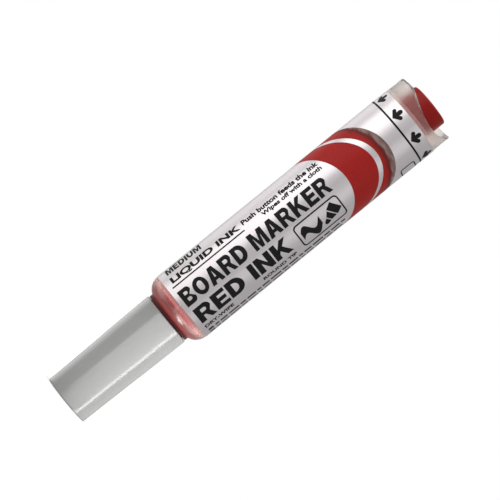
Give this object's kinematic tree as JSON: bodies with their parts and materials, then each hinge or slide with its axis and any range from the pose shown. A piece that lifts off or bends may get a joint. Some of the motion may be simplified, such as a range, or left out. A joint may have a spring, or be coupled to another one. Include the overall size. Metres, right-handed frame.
{
  "type": "whiteboard marker",
  "caption": "Round liquid-ink whiteboard marker with a pull-off cap, bullet nib, translucent barrel with a film label, and a push-button air pump in its notched rear end.",
  "frame": {"origin": "centre of the cap's flat closed end, on which the marker stands", "axes": "+Z along the marker's axis towards the push button; the two notches in the barrel's rear rim face +Y and -Y"},
  "size_m": [0.0202, 0.0202, 0.1217],
  "materials": {
    "cap_plastic": "neutral grey injection-moulded polypropylene, satin",
    "natural_plastic": "unpigmented polyethylene or polypropylene, satin",
    "nib_fibre": "ink-soaked acrylic fibre",
    "seal_rubber": "black moulded rubber",
    "barrel_plastic": "milky translucent polypropylene, stained by the ink behind it",
    "label_film": "clear shrink film with silver, black and red print on its inner side",
    "ink": "red liquid ink",
    "spring_steel": "drawn stainless wire",
    "button_plastic": "red injection-moulded polypropylene, satin gloss"
  },
  "bodies": {
    "cap": {"cap_shell": "cap_plastic", "cap_liner": "natural_plastic"},
    "barrel": {"barrel": "barrel_plastic", "label_film": "label_film", "tip_holder": "cap_plastic", "holder_o_ring": "seal_rubber", "nib": "nib_fibre", "ink_collector": "natural_plastic", "feed_core": "nib_fibre", "ink_charge": "ink", "pump_cylinder": "natural_plastic", "cylinder_o_ring": "seal_rubber", "umbrella_valve": "seal_rubber", "return_spring": "spring_steel", "retaining_collar": "natural_plastic"},
    "button": {"push_button": "button_plastic", "pump_piston": "button_plastic", "piston_seal": "seal_rubber"}
  },
  "joints": [
    {"name": "cap_pull", "type": "slide", "parent": "cap", "child": "barrel", "axis": [0, 0, 1], "range_m": [0, 0.036]},
    {"name": "button_press", "type": "slide", "parent": "barrel", "child": "button", "axis": [0, 0, -1], "range_m": [0, 0.0028], "stiffness_N_per_m": 1500, "springref_m": -0.002, "deforming": ["return_spring"]}
  ]
}
